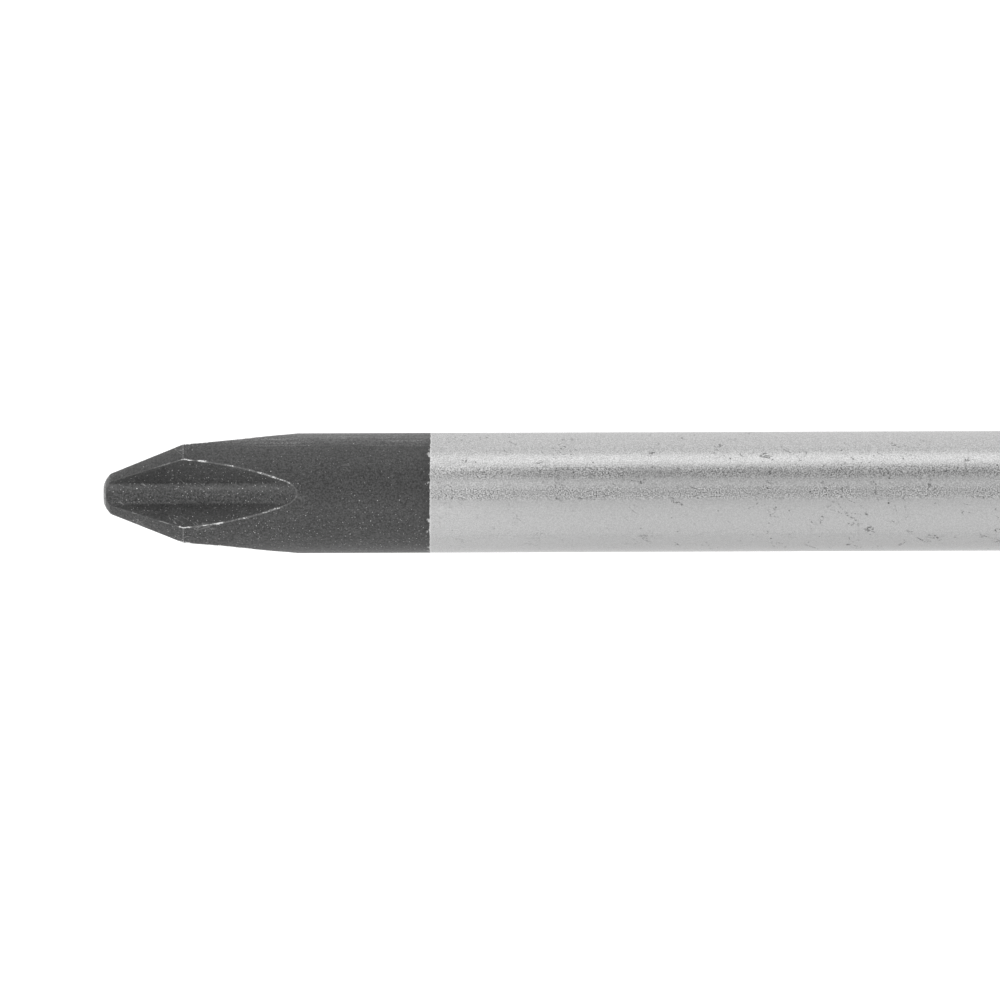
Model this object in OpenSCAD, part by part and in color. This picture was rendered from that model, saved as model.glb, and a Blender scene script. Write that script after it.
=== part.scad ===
// Cross-tip screwdriver with an insulating handle.
//
// The blade is one forged bar: a cross-point tip, a round shank and a tang with
// two pairs of coined wings.  Two insulating sleeves sit on the root of the shank,
// and a core is moulded round the sleeves and the tang.  The core carries a guard,
// a soft finger grip, a ring, a hard shell with six soft pads, and an end cap with
// a hanging hole and a marked badge.
//
// Every piece is drawn along +Z, measured from the apex of the tip, and is then
// laid down so that the blade runs along +X and the handle rests on the XY plane.

/* [Blade] */
// Diameter of the round shank
shank_d = 6; // [5.5:0.1:7.5]
// Shank length from the apex of the tip to the front of the handle
blade_out = 100; // [60:5:200]
// Length of the tang inside the handle
tang_len = 72; // [60:1:84]
// Height of the step down to the tang, which the inner sleeve butts against
tang_step = 0.2; // [0.1:0.05:0.4]
// Width across one pair of tang wings
wing_span = 9.2; // [8:0.1:10]
// Thickness of the tang wings
wing_t = 2.2; // [1.5:0.1:3]
// Length of the tang wings along the blade
wing_len = 7; // [5:0.5:8]

/* [Tip] */
// Diameter across the four points at the blunt end
point_d = 2.29; // [1.8:0.01:2.6]
// Depth of the blunt end cone
point_drop = 0.3; // [0.1:0.05:0.5]
// Half angle of the cone that the points lie on
point_angle = 26.5; // [24:0.5:30]
// Distance from the axis to the root of a flute at the apex
root_r = 0.75; // [0.6:0.05:0.9]
// Slope of the flute root along the tip
root_slope = 5.75; // [4:0.25:7]
// Width of the rounded flute root
root_w = 1.07; // [0.8:0.01:1.3]
// Radius of the rounded flute root, seen along the blade
root_round = 1; // [0.8:0.1:2]
// Angle between the two flanks of a flute
flank_angle = 92; // [88:1:96]
// Length of the straight part of a flute
flute_straight = 3.2; // [2.5:0.1:4]
// Radius on which a flute runs out to the shank
flute_run_r = 18.2; // [14:0.1:24]

/* [Sleeves] */
// Wall of the inner sleeve
inner_wall = 1.4; // [1:0.1:2]
// Wall of the outer sleeve at its front
outer_wall = 1.5; // [1:0.1:2]
// Length of inner sleeve that shows in front of the outer sleeve
inner_show = 3; // [1:0.5:5]
// Length of inner sleeve held inside the core
inner_hold = 8; // [4:1:12]
// Length of the outer sleeve
outer_len = 14; // [10:1:20]
// Radius of the outer sleeve where it meets the guard
outer_root_r = 9; // [8:0.1:10.5]

/* [Handle] */
// Length of the handle from its front to the end face
handle_len = 114; // [104:1:130]
// Largest radius of the hard shell
shell_r = 16; // [14.5:0.1:18]
// Radius of the shell at its front end
shell_front_r = 12.5; // [11.5:0.1:13.5]
// Length from the front of the handle to the thickest place of the shell
shell_peak = 76; // [66:1:82]
// Radius of the handle at the end face, before it is rounded
end_r = 13.4; // [12:0.1:14.5]
// Rounding of the end face
end_round = 3.4; // [2:0.1:3.8]
// Width of the ring between finger grip and shell
ring_w = 2.6; // [2:0.1:4]
// How far the ring stands out from the shell
ring_proud = 0.5; // [0.2:0.1:1]

/* [Guard] */
// Width of the guard along the handle
guard_w = 6; // [4:0.5:8]
// How far the guard corners stand out from its flats
guard_corner = 1.6; // [0.8:0.1:2.2]
// Chamfer round both rims of the guard
guard_chamfer = 1.4; // [0.8:0.1:2]

/* [Finger grip] */
// Length of the finger grip
finger_len = 24; // [20:1:28]
// Radius of the finger grip at its waist
finger_waist_r = 9.8; // [9.2:0.1:11]
// Radius of the finger grip at its ends
finger_end_r = 12.6; // [12:0.1:13.5]
// Number of grooves round the finger grip
finger_grooves = 5; // [3:1:6]
// Distance between the grooves
groove_pitch = 3; // [2:0.1:3.4]
// Radius of each groove
groove_r = 0.6; // [0.4:0.05:0.8]

/* [Core] */
// Radius of the core under the finger grip
core_finger_r = 7.2; // [6.9:0.1:7.6]
// Radius of the core where the guard and the outer sleeve meet it
core_guard_r = 8.4; // [8:0.1:8.8]
// Radius of the core under the shell
core_shell_r = 9.4; // [8.8:0.1:9.8]
// Height of the splines that turn the shell with the core
spline_h = 1; // [0.6:0.1:1.2]
// Width of the splines
spline_w = 3; // [2:0.1:4]
// Radius of the spigot that carries the end cap
spigot_r = 7.6; // [6:0.1:8.2]
// Length of the spigot
spigot_len = 6; // [4:0.5:7]

/* [Pads] */
// Number of soft pads, and of scoops between them
pad_n = 6; // [6:1:6]
// Distance from the front end of the shell to the first end of a pad
pad_start = 5; // [3:0.5:8]
// Distance from the rear end of the shell to the last end of a pad
pad_stop = 4; // [3:0.5:8]
// Half width of a pad at its front
pad_front_w = 2.9; // [2.4:0.1:3.2]
// Half width of a pad at its rear
pad_rear_w = 4.3; // [3.6:0.1:4.5]
// Depth of the pad seats in the shell
pad_depth = 2.2; // [1.5:0.1:2.6]
// How far the pads stand out from the shell
pad_proud = 0.5; // [0.2:0.1:0.8]
// Radius of the scoops between the pads
scoop_r = 5.5; // [5:0.1:6.5]
// Depth of a scoop at the thickest place of the shell
scoop_depth = 1.4; // [0.8:0.1:1.6]

/* [End cap] */
// Length of the end cap
cap_len = 20; // [18:1:24]
// Diameter of the hanging hole
hole_d = 6.5; // [5:0.5:7.5]
// Distance from the end face to the centre of the hanging hole
hole_back = 9; // [8:0.5:10]
// Diameter of the flat round each mouth of the hanging hole
spot_d = 11; // [9:0.5:12]
// Distance between those two flats
spot_gap = 22; // [20:0.5:24]
// Diameter of the badge in the end face
badge_d = 14; // [12:0.5:15]
// Thickness of the badge
badge_t = 1.6; // [1.2:0.1:2]
// How far the badge lies below the end face
badge_sink = 0.4; // [0.3:0.1:0.6]
// Length of each arm of the cross on the badge
cross_arm = 4.4; // [3:0.1:5]
// Width of each arm of the cross on the badge
cross_w = 1.9; // [1.2:0.1:2.6]
// Height of the cross on the badge
cross_h = 0.3; // [0.2:0.1:0.3]

/* [Hidden] */
$fn = 96;

// Step along the handle between two points of a curved outline
outline_step = 2;
// Angle between two points of a round outline
arc_step = 18;
// Cutters reach this far past what they cut
past = 1;
// Chamfer at the end of the tang
tang_chamfer = 1;
// Depth and number of the rings that hold the finger grip on the core
lock_ring_h = 0.9;
lock_ring_w = 2;
lock_rings = 3;
// Chamfer at the front of each sleeve
sleeve_chamfer = 0.6;
// Slope of the scoops, which follow the taper of the shell
scoop_tilt = 3;

shank_r = shank_d / 2;
tang_r = shank_r - tang_step;
inner_r = shank_r + inner_wall;
outer_front_r = inner_r + outer_wall;
pad_pitch = 360 / pad_n;

// Places along the blade and the handle, from the apex of the tip
nose = blade_out;
sleeve_front = nose - inner_show;
guard_front = nose + outer_len;
finger_front = guard_front + guard_w;
ring_front = finger_front + finger_len;
shell_front = ring_front + ring_w;
end_face = nose + handle_len;
cap_front = end_face - cap_len;
tang_end = nose + tang_len;
peak = nose + shell_peak;
hole_place = end_face - hole_back;

// Height of the axis above the surface that the handle lies on
rest_r = shell_r + pad_proud;
shell_len = cap_front - shell_front;
// The two pairs of wings, spaced evenly over the part of the tang in the shell
wing_pitch = (tang_end - tang_chamfer - shell_front) / 2;
shoulder = point_drop + (shank_r - point_d / 2) / tan(point_angle);

// Half of a cosine wave from a to b, as u goes from 0 to 1
function ease(a, b, u) = a + (b - a) * (1 - cos(180 * u)) / 2;

// Radius of the handle behind the ring, at a place s
function body_r(s) = s < peak
    ? ease(shell_front_r, shell_r, (s - shell_front) / (peak - shell_front))
    : ease(shell_r, end_r, (s - peak) / (end_face - peak));

// Radius of the finger grip at a place s
function finger_r(s) = finger_end_r
    - (finger_end_r - finger_waist_r) * (1 - cos(360 * (s - finger_front) / finger_len)) / 2;

// Places from a to b, at even steps no longer than outline_step
function stations(a, b) = let (n = ceil((b - a) / outline_step))
    [for (i = [0:n]) a + (b - a) * i / n];

// The outside of the handle from a to b, moved outwards by grow
function body_line(a, b, grow) = [for (s = stations(a, b)) [body_r(s) + grow, s]];

// Outline of a solid of revolution with that outside
function body_outline(a, b, grow) = concat([[0, a]], body_line(a, b, grow), [[0, b]]);

// Lays a piece that was drawn along +Z from the apex down on the XY plane
module lay() {
    translate([-end_face / 2, 0, rest_r]) rotate([0, 90, 0]) children();
}

// A tube, or a rod where r_in is 0, from a to b
module tube(a, b, r_out, r_in) {
    rotate_extrude() translate([r_in, a]) square([r_out - r_in, b - a]);
}

// Copies of a piece that faces +X, turned to each pad's place
module at_pads(turn = 0) {
    for (i = [0:pad_n - 1]) rotate([0, 0, i * pad_pitch + turn]) children();
}

// ---- blade ----------------------------------------------------------------

// Section of a flute: y is the depth from the outside, with the root at y = 0
module flute_section() {
    root_half = root_w / 2;
    sag = root_round - sqrt(pow(root_round, 2) - pow(root_half, 2));
    reach = shank_d;
    side = root_half + (reach - sag) * tan(flank_angle / 2);
    polygon([[-root_half, sag], [root_half, sag], [side, reach], [-side, reach]]);
    intersection() {
        translate([0, root_round]) circle(root_round);
        translate([-root_half, 0]) square([root_w, sag]);
    }
}

// One flute on the +X side: a straight part that rises along the tip, and a
// round part that runs out to the shank, as a milling wheel leaves it
module flute() {
    length = flute_straight / cos(root_slope) + past;
    translate([root_r + flute_straight * tan(root_slope), 0, flute_straight])
        rotate([0, root_slope, 0]) {
            translate([0, 0, -length]) rotate([0, 0, -90])
                linear_extrude(length) flute_section();
            translate([flute_run_r, 0, 0]) rotate([90, 0, 0])
                rotate_extrude() translate([flute_run_r, 0]) rotate(90) flute_section();
        }
}

// Round bar with the cone and the blunt end of the tip, and a thinner tang
module bar() {
    rotate_extrude() polygon([
        [0, 0],
        [point_d / 2, point_drop],
        [shank_r, shoulder],
        [shank_r, sleeve_front],
        [tang_r, sleeve_front],
        [tang_r, tang_end - tang_chamfer],
        [tang_r - tang_chamfer, tang_end],
        [0, tang_end]]);
}

// The coined wings that stop the blade turning in the core
module wings() {
    for (i = [0:1])
        translate([0, 0, shell_front + (i + 0.5) * wing_pitch]) rotate([0, 0, 90 * i])
            cube([wing_span, wing_t, wing_len], center = true);
}

module blade() {
    color("silver") lay() difference() {
        union() {
            bar();
            wings();
        }
        for (i = [0:3]) rotate([0, 0, 90 * i]) flute();
    }
}

// ---- sleeves --------------------------------------------------------------

module inner_sleeve() {
    color("gold") lay() rotate_extrude() polygon([
        [tang_r, sleeve_front],
        [inner_r - sleeve_chamfer, sleeve_front],
        [inner_r, sleeve_front + sleeve_chamfer],
        [inner_r, guard_front + inner_hold],
        [tang_r, guard_front + inner_hold]]);
}

module outer_sleeve() {
    color("firebrick") lay() rotate_extrude() polygon(concat(
        [[inner_r, nose], [outer_front_r - sleeve_chamfer, nose]],
        [for (s = stations(nose + sleeve_chamfer, guard_front))
            [ease(outer_front_r, outer_root_r,
                (s - nose - sleeve_chamfer) / (outer_len - sleeve_chamfer)), s]],
        [[inner_r, guard_front]]));
}

// ---- core -----------------------------------------------------------------

// Outside of the core, which the pieces on it are moulded to
module core_form() {
    tube(guard_front, finger_front, core_guard_r, 0);
    tube(finger_front, ring_front, core_finger_r, 0);
    for (i = [1:lock_rings])
        translate([0, 0, i * finger_len / (lock_rings + 1) - lock_ring_w / 2])
            tube(finger_front, finger_front + lock_ring_w, core_finger_r + lock_ring_h, 0);
    tube(ring_front, cap_front, core_shell_r, 0);
    tube(cap_front, cap_front + spigot_len, spigot_r, 0);
    at_pads(pad_pitch / 2)
        translate([0, -spline_w / 2, shell_front])
            cube([core_shell_r + spline_h, spline_w, shell_len]);
}

module handle_core() {
    color("gold") lay() difference() {
        core_form();
        tube(guard_front - past, guard_front + inner_hold, inner_r, 0);
        bar();
        wings();
    }
}

// ---- guard, finger grip and ring --------------------------------------------

// A six-sided guard whose flats lie at the resting height of the handle
module guard() {
    corner_r = rest_r + guard_corner;
    color("firebrick") lay() difference() {
        intersection() {
            translate([0, 0, guard_front]) rotate([0, 0, 30])
                cylinder(h = guard_w, r = rest_r / cos(30), $fn = 6);
            rotate_extrude() polygon([
                [0, guard_front],
                [corner_r - guard_chamfer, guard_front],
                [corner_r, guard_front + guard_chamfer],
                [corner_r, finger_front - guard_chamfer],
                [corner_r - guard_chamfer, finger_front],
                [0, finger_front]]);
        }
        tube(guard_front - past, finger_front + past, core_guard_r, 0);
    }
}

module finger_grip() {
    middle = finger_front + finger_len / 2;
    color("dimgray") lay() difference() {
        rotate_extrude() polygon(concat(
            [[0, finger_front]],
            [for (s = stations(finger_front, ring_front)) [finger_r(s), s]],
            [[0, ring_front]]));
        core_form();
        for (i = [0:finger_grooves - 1])
            let (s = middle + (i - (finger_grooves - 1) / 2) * groove_pitch)
                rotate_extrude() translate([finger_r(s) + groove_r / 3, s]) circle(groove_r);
    }
}

module shell_ring() {
    color("gold") lay()
        tube(ring_front, shell_front, shell_front_r + ring_proud, core_shell_r);
}

// ---- shell and pads ---------------------------------------------------------

// Points round part of a circle, from one angle to another
function arc(centre, r, from, to) = let (n = ceil(abs(to - from) / arc_step))
    [for (i = [0:n]) let (a = from + (to - from) * i / n) centre + r * [cos(a), sin(a)]];

// A pad seen from outside: two round ends joined by their tangents.  It is
// extruded from the axis outwards, towards +X
module pad_prism() {
    first = shell_front + pad_start + pad_front_w;
    last = cap_front - pad_stop - pad_rear_w;
    lean = 90 - asin((pad_rear_w - pad_front_w) / (last - first));
    rotate([0, 90, 0]) linear_extrude(rest_r + past) polygon(concat(
        arc([-first, 0], pad_front_w, -lean, lean),
        arc([-last, 0], pad_rear_w, lean, 360 - lean)));
}

// The floor on which the pads lie, as a solid that reaches in to the axis
module pad_floor() {
    rotate_extrude() polygon(body_outline(shell_front, cap_front, -pad_depth));
}

// Long scoops between the pads, deepest at the thickest place of the shell
module scoops() {
    at_pads(pad_pitch / 2)
        translate([shell_r + scoop_r - scoop_depth, 0, peak]) rotate([0, scoop_tilt, 0])
            translate([0, 0, shell_front - peak])
                cylinder(h = end_face - shell_front + handle_len / 4, r = scoop_r);
}

module handle_shell() {
    color("firebrick") lay() difference() {
        rotate_extrude() polygon(body_outline(shell_front, cap_front, 0));
        core_form();
        scoops();
        difference() {
            at_pads() pad_prism();
            pad_floor();
        }
    }
}

// One pad, which fills its seat in the shell and stands a little proud of it
module grip_pad(i) {
    color("dimgray") lay() rotate([0, 0, (i - 1) * pad_pitch]) difference() {
        intersection() {
            pad_prism();
            rotate_extrude() polygon(body_outline(shell_front, cap_front, pad_proud));
        }
        pad_floor();
    }
}

// ---- end cap and badge ------------------------------------------------------

module end_cap() {
    round_front = end_face - end_round;
    edge = body_r(round_front) - end_round;
    color("gold") lay() difference() {
        rotate_extrude() polygon(concat(
            [[0, cap_front]],
            body_line(cap_front, round_front, 0),
            arc([edge, round_front], end_round, arc_step, 90),
            [[0, end_face]]));
        scoops();
        tube(cap_front - past, cap_front + spigot_len, spigot_r, 0);
        tube(end_face - badge_sink - badge_t, end_face + past, badge_d / 2, 0);
        translate([0, 0, hole_place]) rotate([90, 0, 0]) {
            cylinder(h = 2 * rest_r, d = hole_d, center = true);
            for (side = [0, 1]) mirror([0, 0, side])
                translate([0, 0, spot_gap / 2]) cylinder(h = rest_r, d = spot_d);
        }
    }
}

module cap_badge() {
    face = end_face - badge_sink;
    color("dimgray") lay() {
        tube(face - badge_t, face, badge_d / 2, 0);
        for (turn = [0, 90]) rotate([0, 0, turn])
            translate([-cross_arm, -cross_w / 2, face]) cube([2 * cross_arm, cross_w, cross_h]);
    }
}

blade();
inner_sleeve();
outer_sleeve();
guard();
handle_core();
finger_grip();
shell_ring();
handle_shell();
grip_pad(1);  // grip_pad_1
grip_pad(2);  // grip_pad_2
grip_pad(3);  // grip_pad_3
grip_pad(4);  // grip_pad_4
grip_pad(5);  // grip_pad_5
grip_pad(6);  // grip_pad_6
end_cap();
cap_badge();
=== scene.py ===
"""Looks of a cross-tip screwdriver with an insulating handle.

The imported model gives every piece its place.  The classes below rebuild the pieces
that show with softened edges and finishes.  They work in millimetres along the tool:
X runs from the apex of the tip towards the end of the handle, and Y and Z are
measured from the tool's axis.  A finished mesh is then scaled to metres and moved to
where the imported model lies.
"""

import logging
import math
from collections.abc import Callable, Iterable, Sequence
from dataclasses import dataclass
from enum import Enum
from functools import partial, reduce

import bmesh
import bpy
from bmesh.types import BMEdge, BMesh, BMFace, BMVert
from mathutils import Matrix, Vector


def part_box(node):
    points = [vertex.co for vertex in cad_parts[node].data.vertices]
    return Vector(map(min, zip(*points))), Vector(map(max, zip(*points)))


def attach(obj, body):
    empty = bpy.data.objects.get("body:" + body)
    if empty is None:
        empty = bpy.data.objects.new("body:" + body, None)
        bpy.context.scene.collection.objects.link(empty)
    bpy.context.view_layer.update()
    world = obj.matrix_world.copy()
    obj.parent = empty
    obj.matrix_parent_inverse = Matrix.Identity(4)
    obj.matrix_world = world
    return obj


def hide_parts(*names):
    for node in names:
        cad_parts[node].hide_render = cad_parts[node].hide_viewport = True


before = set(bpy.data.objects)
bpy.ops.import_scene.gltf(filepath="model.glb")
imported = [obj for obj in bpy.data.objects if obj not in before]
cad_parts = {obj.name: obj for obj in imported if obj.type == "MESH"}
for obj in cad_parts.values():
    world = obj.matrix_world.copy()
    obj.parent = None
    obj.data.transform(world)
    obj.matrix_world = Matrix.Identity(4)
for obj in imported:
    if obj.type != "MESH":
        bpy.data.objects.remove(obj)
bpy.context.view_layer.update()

MM = 0.001
MERGE_DISTANCE = 0.002

Point = tuple[float, float]
Corner = tuple[float, float, float]
Socket = bpy.types.NodeSocket

log = logging.getLogger("screwdriver")


class Slot(Enum):
    """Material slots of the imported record."""

    BLADE = "blade_steel"
    YELLOW = "core_yellow"
    RED = "shell_red"
    BLACK = "grip_black"
    BADGE = "badge_dark"


class Cut(Enum):
    """What one solid does to another."""

    AWAY = "DIFFERENCE"
    JOIN = "UNION"


# ---- outlines and solids ---------------------------------------------------------


def rounded(corners: Sequence[Corner], steps: int = 5) -> list[Point]:
    """Rounds the corners of an outline.

    Args:
        corners: place along the axis, distance from it and rounding of each corner.
            A rounding of 0 leaves the corner as it is.
        steps: edges that make one rounded corner.

    Returns:
        The points of the rounded outline.
    """
    points: list[Point] = []
    for i, (along, out, rounding) in enumerate(corners):
        here = Vector((along, out))
        if not rounding:
            points.append((along, out))
            continue
        back = (Vector(corners[i - 1][:2]) - here).normalized()
        ahead = (Vector(corners[(i + 1) % len(corners)][:2]) - here).normalized()
        half = back.angle(ahead) / 2
        centre = here + (back + ahead).normalized() * rounding / math.sin(half)
        start = here + back * rounding / math.tan(half) - centre
        stop = here + ahead * rounding / math.tan(half) - centre
        turn = start.angle(stop)
        for k in range(steps + 1):
            share = turn * k / steps
            spoke = (start * math.sin(turn - share) + stop * math.sin(share)) / math.sin(turn)
            points.append(tuple(centre + spoke))
    return points


def spread(start: float, stop: float, step: float) -> list[float]:
    """Even places from start to stop, no further apart than step."""
    count = max(1, math.ceil((stop - start) / step))
    return [start + (stop - start) * i / count for i in range(count + 1)]


def ease(a: float, b: float, share: float) -> float:
    """Half a cosine wave from a to b, as share goes from 0 to 1."""
    return a + (b - a) * (1 - math.cos(math.pi * share)) / 2


def smoothstep(share: float) -> float:
    """Goes smoothly from 0 to 1 as share does, and stays there beyond."""
    share = max(0.0, min(1.0, share))
    return share * share * (3 - 2 * share)


def smooth_least(a: float, b: float, blend: float) -> float:
    """The smaller of two numbers, rounded off where they are closer than blend."""
    near = max(blend - abs(a - b), 0.0) / blend
    return min(a, b) - near * near * blend / 4


def lathe(outline: Sequence[Point], steps: int, closed: bool = True) -> BMesh:
    """Turns an outline about the axis.

    Args:
        outline: places along the axis and distances from it.
        steps: facets round the axis.
        closed: joins the last point to the first. A bar whose outline starts and
            ends on the axis needs no such edge.

    Returns:
        A closed solid.
    """
    solid = bmesh.new()
    verts = [solid.verts.new((along, 0, -out)) for along, out in outline]
    loop = verts + verts[:1] if closed else verts
    edges = [solid.edges.new(pair) for pair in zip(loop, loop[1:])]
    bmesh.ops.spin(
        solid, geom=verts + edges, cent=(0, 0, 0), axis=(1, 0, 0), dvec=(0, 0, 0),
        angle=math.tau, steps=steps, use_merge=True,
    )
    return tidy(solid)


def tidy(solid: BMesh) -> BMesh:
    """Merges doubled points, drops empty faces and turns every face outwards.

    Args:
        solid: the solid that is worked on.

    Returns:
        The same solid.
    """
    bmesh.ops.remove_doubles(solid, verts=solid.verts, dist=MERGE_DISTANCE)
    bmesh.ops.dissolve_degenerate(solid, edges=solid.edges, dist=MERGE_DISTANCE / 10)
    bmesh.ops.recalc_face_normals(solid, faces=solid.faces)
    return solid


def box(size: Sequence[float], centre: Sequence[float]) -> BMesh:
    """A block.

    Args:
        size: its size along each axis.
        centre: its middle.

    Returns:
        The solid.
    """
    solid = bmesh.new()
    matrix = Matrix.Translation(centre) @ Matrix.Diagonal((*size, 1))
    bmesh.ops.create_cube(solid, size=1, matrix=matrix)
    return solid


def link(name: str, solid: BMesh) -> bpy.types.Object:
    """Puts a solid into the scene.

    Args:
        name: name of the object and of its mesh.
        solid: the solid, which is freed.

    Returns:
        The object.
    """
    mesh = bpy.data.meshes.new(name)
    solid.to_mesh(mesh)
    solid.free()
    piece = bpy.data.objects.new(name, mesh)
    bpy.context.scene.collection.objects.link(piece)
    return piece


def carve(body: BMesh, tool: BMesh, cut: Cut = Cut.AWAY) -> BMesh:
    """Cuts one solid with another, or joins them.

    Args:
        body: the solid that is worked on, which is freed.
        tool: the solid that it is worked with, which is freed.
        cut: what the tool does.

    Returns:
        The worked solid.
    """
    work, other = link("work", body), link("tool", tool)
    modifier = work.modifiers.new("carve", "BOOLEAN")
    modifier.operation = cut.value
    modifier.object = other
    modifier.solver = "EXACT"
    result = bmesh.new()
    result.from_object(work, bpy.context.evaluated_depsgraph_get())
    for spent in (work, other):
        mesh = spent.data
        bpy.data.objects.remove(spent)
        bpy.data.meshes.remove(mesh)
    return tidy(result)


def spun(solid: BMesh, degrees: float, axis: str = "X") -> BMesh:
    """Turns a solid about an axis through the origin."""
    solid.transform(Matrix.Rotation(math.radians(degrees), 4, axis))
    return solid


def copies(solid: BMesh, count: int) -> BMesh:
    """Copies of a solid, spread evenly about the tool's axis.

    Args:
        solid: the first of them, which is freed.
        count: how many.

    Returns:
        All of them as one mesh.
    """
    mesh = bpy.data.meshes.new("copy")
    result = bmesh.new()
    for i in range(count):
        solid.to_mesh(mesh)
        mesh.transform(Matrix.Rotation(math.radians(360 / count * i), 4, "X"))
        result.from_mesh(mesh)
    solid.free()
    bpy.data.meshes.remove(mesh)
    return result


def drawn(solid: BMesh, faces: Iterable[BMFace]) -> list[BMVert]:
    """Extrudes faces of a solid, and returns the points of the new ones."""
    made = bmesh.ops.extrude_face_region(solid, geom=list(faces))
    return [part for part in made["geom"] if isinstance(part, BMVert)]


def bevel(
    solid: BMesh, wanted: Callable[[BMEdge], bool], width: float, segments: int
) -> None:
    """Bevels some edges of a solid.

    Args:
        solid: the solid that is worked on.
        wanted: picks the edges.
        width: how far the bevel reaches from the edge on each face.
        segments: faces across the bevel.
    """
    edges = [edge for edge in solid.edges if wanted(edge)]
    bmesh.ops.bevel(
        solid, geom=edges, offset=width, offset_type="OFFSET", segments=segments,
        profile=0.5, affect="EDGES", material=-1, clamp_overlap=True,
    )


def turn_of(edge: BMEdge) -> float:
    """Angle in degrees between the two faces of an edge, 0 where they are level."""
    return math.degrees(edge.calc_face_angle(0.0))


# ---- where things lie --------------------------------------------------------------


@dataclass(frozen=True)
class Lay:
    """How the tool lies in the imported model."""

    apex_x: float
    axis_z: float

    @classmethod
    def of_model(cls) -> "Lay":
        """Reads the place of the axis and of the apex from the blade."""
        low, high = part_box("blade")
        return cls(low.x, (low.z + high.z) / 2)

    def matrix(self) -> Matrix:
        """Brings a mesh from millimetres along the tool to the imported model."""
        return Matrix.Translation((self.apex_x, 0, self.axis_z)) @ Matrix.Scale(MM, 4)

    def span(self, node: str) -> tuple[float, float]:
        """Where a node starts and stops, in millimetres from the apex."""
        low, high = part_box(node)
        return (low.x - self.apex_x) / MM, (high.x - self.apex_x) / MM


@dataclass(frozen=True)
class Workshop:
    """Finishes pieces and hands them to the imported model."""

    lay: Lay

    def deliver(
        self,
        node: str,
        solid: BMesh,
        slot: Slot,
        material: bpy.types.Material,
        sharp_from: float = 30.0,
    ) -> None:
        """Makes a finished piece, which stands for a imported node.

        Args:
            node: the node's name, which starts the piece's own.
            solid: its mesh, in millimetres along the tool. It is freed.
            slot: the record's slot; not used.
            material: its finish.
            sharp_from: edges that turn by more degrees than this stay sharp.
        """
        piece = link(f"{node}_finished", solid)
        mesh = piece.data
        mesh.transform(self.lay.matrix())
        mesh.shade_smooth()
        mesh.set_sharp_from_angle(angle=math.radians(sharp_from))
        mesh.materials.append(material)
        normals = piece.modifiers.new("normals", "WEIGHTED_NORMAL")
        normals.keep_sharp = True
        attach(piece, "root")
        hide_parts(node)
        log.info("%s: %d faces", node, len(mesh.polygons))


@dataclass(frozen=True)
class TipForm:
    """The cross-point tip: a bar with a cone, and flutes that run out of it."""

    shank_r: float = 3.0
    point_r: float = 1.145
    point_drop: float = 0.3
    cone_angle: float = 26.5
    flutes: int = 4
    root_r: float = 0.75
    root_slope: float = 5.75
    root_half: float = 0.535
    root_round: float = 1.0
    flank_angle: float = 92.0
    straight: float = 3.2
    run_r: float = 18.2

    @property
    def cone_slope(self) -> float:
        """Rise of the cone for each millimetre along the tip."""
        return math.tan(math.radians(self.cone_angle))

    @property
    def shoulder(self) -> float:
        """Where the cone meets the shank."""
        return self.point_drop + (self.shank_r - self.point_r) / self.cone_slope

    @property
    def flank_slope(self) -> float:
        """How much wider a flute is at each side for each millimetre outwards."""
        return math.tan(math.radians(self.flank_angle / 2))

    @property
    def root_end(self) -> Vector:
        """Where the straight part of a flute's root ends, on the upper side."""
        rise = self.straight * math.tan(math.radians(self.root_slope))
        return Vector((self.straight, 0, self.root_r + rise))

    @property
    def wheel(self) -> Vector:
        """Centre of the arc on which the root runs out of the bar."""
        slope = math.radians(self.root_slope)
        return self.root_end + self.run_r * Vector((-math.sin(slope), 0, math.cos(slope)))

    def cone_r(self, along: float) -> float:
        """Radius of the cone at a place along it."""
        return self.point_r + (along - self.point_drop) * self.cone_slope


@dataclass(frozen=True)
class HandleForm:
    """The outer form that the shell, the pads and the end cap share."""

    shell_front: float
    cap_front: float
    end_face: float
    front_r: float = 12.5
    peak_r: float = 16.0
    end_r: float = 13.4
    peak_back: float = 38.0
    sides: int = 6
    scoop_r: float = 5.5
    scoop_depth: float = 1.4
    scoop_tilt: float = 3.0
    scoop_blend: float = 0.9

    @classmethod
    def of_model(cls, lay: Lay) -> "HandleForm":
        """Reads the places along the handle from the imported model."""
        shell_front, cap_front = lay.span("handle_shell")
        return cls(shell_front, cap_front, lay.span("end_cap")[1])

    @property
    def peak(self) -> float:
        """Place of the largest radius."""
        return self.end_face - self.peak_back

    def radius(self, along: float) -> float:
        """The radius of the handle, without its scoops.

        Args:
            along: place along the handle.

        Returns:
            The radius there.
        """
        if along < self.peak:
            share = (along - self.shell_front) / (self.peak - self.shell_front)
            return ease(self.front_r, self.peak_r, share)
        share = (along - self.peak) / (self.end_face - self.peak)
        return ease(self.peak_r, self.end_r, share)

    def scoop(self, along: float, turn: float) -> float:
        """How deep the scoops reach below the form.

        Args:
            along: place along the handle.
            turn: angle about the axis in radians, 0 in the middle of a pad.

        Returns:
            The depth there, 0 outside the scoops.
        """
        pitch = math.tau / self.sides
        off = turn % pitch - pitch / 2
        slope = math.tan(math.radians(self.scoop_tilt))
        far = self.peak_r + self.scoop_r - self.scoop_depth + (along - self.peak) * slope
        side = far * math.sin(off)
        if abs(side) >= self.scoop_r:
            return 0.0
        floor = far * math.cos(off) - math.sqrt(self.scoop_r**2 - side**2)
        radius = self.radius(along)
        return radius - smooth_least(radius, floor, self.scoop_blend)


# ---- node trees --------------------------------------------------------------------


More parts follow.
